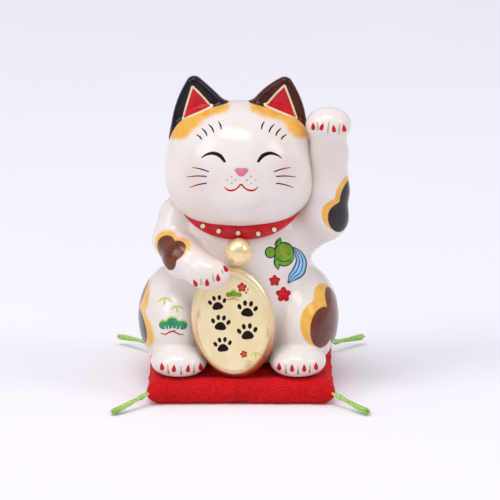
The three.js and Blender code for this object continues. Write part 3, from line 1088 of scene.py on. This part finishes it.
# The coin carries five brushed paw prints (across, height, turn, size) among small plants
PRINTS = [
    (-12.4, 41.0, 0.15, 1.0),
    (-10.9, 30.2, -0.1, 1.06),
    (-9.6, 18.6, 0.1, 1.0),
    (3.4, 37.6, -0.12, 1.12),
    (3.6, 25.4, 0.1, 1.12),
]
on_coin = paint_set("coin_", coin_canvas, {
    "paw_prints": "ink_enamel",
    "blossoms": "claw_enamel",
    "stamens": "cream_enamel",
    "pine": "green_enamel",
    "leaves": "leaf_enamel",
})
pad = ring_outline(lambda a: 2.3 * (1 - 0.1 * math.sin(3 * a))) * (1.25, 0.9)
toe = disc((0, 0), 0.95, 1.45, 16)
for x, h, turn, size in PRINTS:
    on_coin["paw_prints"].fill(placed(pad, (x, h - 1.4), turn, size), 2)
    for toe_x, toe_h, lean in ((-3.9, 1.5, 0.5), (-1.45, 3.5, 0.15), (1.45, 3.5, -0.15), (3.9, 1.5, -0.5)):
        spot = placed([(toe_x, toe_h)], (x, h - 0.4), turn, size)[0]
        on_coin["paw_prints"].fill(placed(toe, spot, turn + lean, size), 2)
blossom(on_coin["blossoms"], on_coin["stamens"], (0.6, 49.7), 2.6)
for x, h, radius in ((3.8, 48.6, 0.5), (2.9, 46.9, 0.6)):
    on_coin["blossoms"].fill(disc((x, h), radius, count=12))
blossom(on_coin["blossoms"], on_coin["stamens"], (1.6, 14.0), 2.0, 0.3)
pine(on_coin["pine"], on_coin["leaves"], on_coin["stamens"], on_coin["blossoms"], (-4.0, 45.9), 0.56)
for x, h, size in ((8.0, 14.8, 0.72), (4.6, 10.4, 0.62)):
    bamboo(on_coin["leaves"], (x, h), size)

# Five drops of cream on the collar, each in a dark ring
on_collar = paint_set("collar_", collar_canvas, {"drop_rings": "maroon_enamel", "drops": "cream_enamel"})
for spot in ((-20.2, 82.6), (-11.7, 79.9), (-1.5, 78.8), (9.2, 78.5), (17.7, 80.7)):
    on_collar["drop_rings"].fill(disc(spot, 1.75), 2)
    on_collar["drops"].fill(disc(spot, 1.25), 6)

for paint in all_paints:
    paint.done()


# ---- cushion

CUSHION_HALF = box_mm("cushion_bottom_panel")[1][0]
CUSHION_TOP = box_mm("cushion_top_panel")[1][2]
SEAM = CUSHION_TOP / 2
PANEL_CELLS = 48
SIM_SCALE = 0.01
SIM_FRAMES = 20
PULL_IN = 0.5
CORNER_OUT = 1.6
PANEL_SUNK = 1.6
MOST_MOVED = 2.5
WAVE_COUNT = 24
CLOTH = {
    "use_pressure": True,
    "uniform_pressure_force": 4,
    "tension_stiffness": 40,
    "compression_stiffness": 40,
    "shear_stiffness": 20,
    "bending_stiffness": 0.4,
    "shrink_min": -0.06,
}


def crepe_material():
    """Red crepe: a fine pebbled crinkle, with a dry sheen."""
    mat, tree, bsdf = new_material("red_crepe")
    pebble = noise(tree, 1500, 4, (0.35, 1, 1))
    twist = noise(tree, 3600, 2, (0.25, 1, 1))
    crinkle = maths(tree, "ADD", pebble, maths(tree, "MULTIPLY", twist, 0.5))
    # The colour follows the crinkle's height: painted shade in its hollows and painted light on its tops
    high = spread(tree, crinkle, 0.55, 0.95, 0, 1, True)
    light = mix(tree, clouds(tree, 70, 2), (0.76, 0.006, 0.010), (0.64, 0.004, 0.008))
    feed(tree, bsdf, {
        "Base Color": mix(tree, high, (0.47, 0.004, 0.008), light),
        "Roughness": spread(tree, high, 0, 1, 0.9, 0.62),
        "Normal": bump(tree, crinkle, 0.55, 0.0006),
        "Specular IOR Level": 0.15,
        "Sheen Weight": 0.08,
        "Sheen Roughness": 0.4,
        "Sheen Tint": (1, 0.25, 0.25, 1),
    })
    return mat


def pillow_mesh():
    """Two square panels sewn together at their edges, a little apart in the middle."""
    count = PANEL_CELLS
    share = np.linspace(-1, 1, count + 1)
    index, points, faces = {}, [], []
    for side in (1, -1):
        for i, s in enumerate(share):
            for j, t in enumerate(share):
                edge = i in (0, count) or j in (0, count)
                if edge and side < 0:
                    index[side, i, j] = index[1, i, j]
                    continue
                index[side, i, j] = len(points)
                near, far = sorted((abs(s), abs(t)))
                reach = CUSHION_HALF - PULL_IN * (1 - far**2 * near**2) + CORNER_OUT * (s * t) ** 8
                plump = ((1 - abs(s) ** 20) * (1 - abs(t) ** 20)) ** 0.4
                points.append((s * reach, t * reach, SEAM + side * plump * (SEAM - PANEL_SUNK)))
        for i in range(count):
            for j in range(count):
                ring = [index[side, a, b] for a, b in ((i, j), (i + 1, j), (i + 1, j + 1), (i, j + 1))]
                faces.append(ring[::side])
    return np.array(points, float), faces


def read_vectors(items, key):
    values = np.empty(len(items) * 3, np.float32)
    items.foreach_get(key, values)
    return values.reshape(-1, 3)


def inflate(points, faces):
    """Blows the sewn panels up as cloth, at a scale where a cushion is a metre wide."""
    mesh = bpy.data.meshes.new("inflating")
    mesh.from_pydata((points * SIM_SCALE).tolist(), [], faces)
    obj = linked("inflating", mesh)
    cloth = obj.modifiers.new("cloth", "CLOTH")
    cloth.settings.effector_weights.gravity = 0
    for key, value in CLOTH.items():
        setattr(cloth.settings, key, value)
    cloth.collision_settings.use_collision = False
    cloth.point_cache.frame_start, cloth.point_cache.frame_end = 1, SIM_FRAMES
    for step in range(1, SIM_FRAMES + 1):
        bpy.context.scene.frame_set(step)
    shaped = obj.evaluated_get(bpy.context.evaluated_depsgraph_get())
    blown = read_vectors(shaped.data.vertices, "co")
    bpy.context.scene.frame_set(1)
    bpy.data.objects.remove(obj)
    return blown / SIM_SCALE


def under_load(x, y):
    """1 under the seated cat and 0 clear of it."""
    away = np.hypot(x / 47.0, (y + 1) / 44.0)
    return np.clip((1.0 - away) / 0.16, 0, 1)


def cushion_points(start, faces):
    """The cushion's form: blown up, then pressed flat by the cat above and the table below."""
    blown = inflate(start, faces)
    p = start + np.clip(blown - start, -MOST_MOVED, MOST_MOVED)
    p[:, :2] *= CUSHION_HALF / np.abs(p[:, :2]).max(0) * (1 + CORNER_OUT / CUSHION_HALF)
    lift = p[:, 2] - SEAM
    top, bottom = lift.max(), -lift.min()
    p[:, 2] = SEAM + np.where(lift > 0, lift * (CUSHION_TOP + 0.5 - SEAM) / top, lift * (SEAM + 0.5) / bottom)
    load = under_load(p[:, 0], p[:, 1])
    ceiling = CUSHION_TOP + 0.4 * (1 - load)
    p[:, 2] = np.where(p[:, 2] > SEAM, np.minimum(p[:, 2], ceiling), np.maximum(p[:, 2], 0))
    return p


def fabric_noise(points, size, seed):
    """Smooth noise on points, from -1 to 1: a sum of plane waves with fixed random directions."""
    draw = np.random.default_rng(seed)
    total = np.zeros(len(points))
    for _ in range(WAVE_COUNT):
        direction = draw.normal(size=3)
        direction /= np.linalg.norm(direction) * size * draw.uniform(0.75, 1.5)
        total += np.sin(points @ direction * TURN + draw.uniform(0, TURN))
    return total / 6


def make_cushion():
    start, faces = pillow_mesh()
    obj = piece_from("crepe_cushion", cushion_points(start, faces), faces, crepe_material())
    rounds = 2
    finer = obj.modifiers.new("finer", "SUBSURF")
    finer.levels = finer.render_levels = rounds
    bpy.context.view_layer.update()
    smooth = bpy.data.meshes.new_from_object(obj.evaluated_get(bpy.context.evaluated_depsgraph_get()))
    obj.modifiers.clear()
    obj.data = smooth
    smooth.shade_smooth()
    p = read_vectors(smooth.vertices, "co") / MM
    normal = read_vectors(smooth.vertex_normals, "vector")
    free = 1 - under_load(p[:, 0], p[:, 1]) * (p[:, 2] > SEAM)
    rim = np.exp(-(((p[:, 2] - SEAM) / 3.2) ** 2))
    tucks = fabric_noise(p * (1, 1, 0.35), 6.5, 3) * (0.12 + 0.38 * rim)
    crinkle = fabric_noise(p * (0.4, 1, 1), 2.6, 5) * 0.1
    p = p + normal * ((tucks + crinkle) * (0.25 + 0.75 * free))[:, None]
    p[:, 2] = np.clip(p[:, 2], 0.02, None)
    load = under_load(p[:, 0], p[:, 1])
    p[:, 2] = np.minimum(p[:, 2], SEAT - 0.05 + 2.5 * (1 - load))
    smooth.vertices.foreach_set("co", (p * MM).astype(np.float32).ravel())
    smooth.update()
    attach(obj, "cushion")
    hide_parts("cushion_top_panel", "cushion_bottom_panel", "cushion_stuffing")


make_cushion()

# ---- thread ties and tassels

STRAND_COUNT = 60
STRAND_RADIUS = 0.27
TASSEL_REACH = 21.4
TIE_REACH = 6.2
TIP_HEIGHT = 1.3


def thread_material():
    """Light green silk thread: thin plies run along it."""
    mat, tree, bsdf = new_material("green_thread")
    ply = noise(tree, 1500, 3)
    # The colour follows the plies' bump: painted light on their tops and painted shade between them
    share = spread(tree, ply, 0.35, 0.65, 0, 1, True)
    feed(tree, bsdf, {
        "Base Color": mix(tree, share, (0.27, 0.52, 0.07), (0.56, 0.78, 0.24)),
        "Roughness": spread(tree, ply, 0.3, 0.7, 0.5, 0.75),
        "Normal": bump(tree, ply, 0.4, 0.0002),
        "Sheen Weight": 0.4,
        "Sheen Roughness": 0.4,
    })
    return mat


thread = thread_material()


def crosswise(along):
    """Two unit vectors square to a line: one level, one towards the top."""
    side = unit(np.cross(along, (0, 0, 1.0)))
    return side, np.cross(side, along)


def tube(line, radii, sides=6):
    """A closed tube along a line of points."""
    line = np.asarray(line, float)
    along = directions(line)
    side, _ = crosswise(along[0])
    points, faces = [], []
    for spot, forward, radius in zip(line, along, np.broadcast_to(radii, len(line))):
        side = unit(side - forward * (side @ forward))
        up = np.cross(side, forward)
        for i in range(sides):
            angle = TURN * i / sides
            points.append(spot + radius * (math.cos(angle) * side + math.sin(angle) * up))
    for row in range(len(line) - 1):
        a, b = row * sides, (row + 1) * sides
        faces += [(a + i, a + (i + 1) % sides, b + (i + 1) % sides, b + i) for i in range(sides)]
    faces += [tuple(range(sides))[::-1], tuple(range(len(points) - sides, len(points)))]
    return points, faces


def thread_piece(name, body, replaced, tubes):
    """Several tubes of thread that make one piece."""
    obj = piece_from(name, *merged(tubes), thread)
    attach(obj, body)
    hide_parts(replaced)


def winding(start, end, radius, turns):
    """A helix round the line from start to end."""
    side, up = crosswise(unit(end - start))
    line = []
    for t in np.linspace(0, 1, int(turns * 14) + 1):
        angle = TURN * turns * t
        swell = radius * (0.55 + 0.45 * math.sin(math.pi * t) ** 0.5)
        line.append(start + (end - start) * t + swell * (math.cos(angle) * side + math.sin(angle) * up))
    return line


def bow(start, middle, end):
    """A curve from start to end through a middle point."""
    t = np.linspace(0, 1, 9)[:, None]
    return (1 - t) ** 2 * start + 2 * t * (1 - t) * (2 * middle - (start + end) / 2) + t**2 * end


def tassel_place(corner, sides):
    """Where a tassel's hinge is, the direction in which it lies, and the two directions square to it."""
    joint = next(joint for joint in frame["joints"] if joint["name"] == f"tassel_{corner}_swing")
    hinge = np.array(joint["pos_m"]) / MM
    low, high, middle = box_mm(f"tassel_{corner}")
    tip = np.where(np.array(sides) > 0, high[:2], low[:2])
    in_front = sides[1] < 0
    along = unit(np.array([*tip, TIP_HEIGHT if in_front else middle[2]]) - hinge)
    return hinge, along, *crosswise(along)


def add_tie(corner, hinge, along, side, up):
    """One corner's loop of thread and its knot."""
    root = hinge - along * TIE_REACH
    tubes = [tube(bow(root, (root + hinge) / 2 + side * bend + up * 0.2, hinge), 0.75) for bend in (-1, 1)]
    tubes.append(tube(winding(hinge - along * 1.7, hinge + along * 1.3, 1.15, 3.5), 0.48))
    tubes.append(tube(winding(hinge - along * 0.8, hinge + along * 0.9, 0.55, 2.5), 0.5))
    thread_piece(f"tie_{corner}_thread", "cushion", f"tie_{corner}", tubes)


def add_tassel(corner, hinge, along, side, up, seed):
    """The cut strands that hang from one corner's knot, bound by a few turns of thread."""
    draw = np.random.default_rng(seed)
    tubes = []
    for _ in range(STRAND_COUNT):
        angle = TURN * draw.random()
        out = math.sqrt(draw.random())
        reach = TASSEL_REACH * draw.uniform(0.84, 1.0)
        twist = draw.uniform(0.3, 0.9)
        line = []
        for t in np.linspace(0, 1, 10):
            spread_out = out * (0.75 + 1.3 * t)
            turn = angle + twist * t
            wave_out = 0.22 * math.sin(7 * t + 6 * angle)
            across = spread_out * math.cos(turn) + wave_out
            offset = side * across + up * (spread_out * math.sin(turn) * 0.75)
            spot = hinge + along * (0.6 + reach * t) + offset
            spot[2] = max(spot[2], STRAND_RADIUS)
            line.append(spot)
        tubes.append(tube(line, [STRAND_RADIUS] * 9 + [STRAND_RADIUS * 0.6], 5))
    tubes.append(tube(winding(hinge + along * 1.7, hinge + along * 3.2, 1.0, 2.5), 0.3))
    thread_piece(f"tassel_{corner}_thread", f"tassel_{corner}", f"tassel_{corner}", tubes)


CORNERS = {"front_right": (-1, -1), "front_left": (1, -1), "rear_right": (-1, 1), "rear_left": (1, 1)}
for number, (corner, sides) in enumerate(CORNERS.items()):
    place = tassel_place(corner, sides)
    add_tie(corner, *place)
    add_tassel(corner, *place, number + 11)


# ---- stage and light


FLOOR_HALF = 4
LIGHT_TARGET = Vector((0, 0, 0.08))
# Each light: its place, its width and height in metres, and its power
SOFTBOXES = {
    "left_softbox": ((-3.0, -1.5, 2.8), (1.8, 2.4), 44),
    "right_softbox": ((3.1, -1.2, 2.4), (1.1, 1.6), 22),
    "top_softbox": ((-0.3, -1.0, 3.8), (2.4, 1.3), 57),
}


def area_light(name, at, size, power):
    data = bpy.data.lights.new(name, "AREA")
    data.shape = "RECTANGLE"
    data.size, data.size_y = size
    data.energy = power
    light = linked(name, data)
    light.location = at
    light.rotation_euler = (LIGHT_TARGET - light.location).to_track_quat("-Z", "Y").to_euler()


def make_floor():
    mesh = bpy.data.meshes.new("floor")
    corners = [(x * FLOOR_HALF, y * FLOOR_HALF, 0) for x, y in ((-1, -1), (1, -1), (1, 1), (-1, 1))]
    mesh.from_pydata(corners, [], [(0, 1, 2, 3)])
    mat, tree, bsdf = new_material("floor")
    share = spread(tree, noise(tree, 3, 2), 0.3, 0.7, 0, 1)
    pale = mix(tree, share, (0.90, 0.88, 0.93), (0.92, 0.90, 0.95))
    feed(tree, bsdf, {"Base Color": pale, "Roughness": 0.9})
    mesh.materials.append(mat)
    return linked("floor", mesh)


make_floor()
for name, values in SOFTBOXES.items():
    area_light(name, *values)
world = bpy.data.worlds.new("world")
bpy.context.scene.world = world
world.use_nodes = True
feed(world.node_tree, world.node_tree.nodes["Background"], {"Color": (0.93, 0.92, 1, 1), "Strength": 0.56})
bpy.context.scene.view_settings.view_transform = "Standard"

bpy.context.view_layer.update()
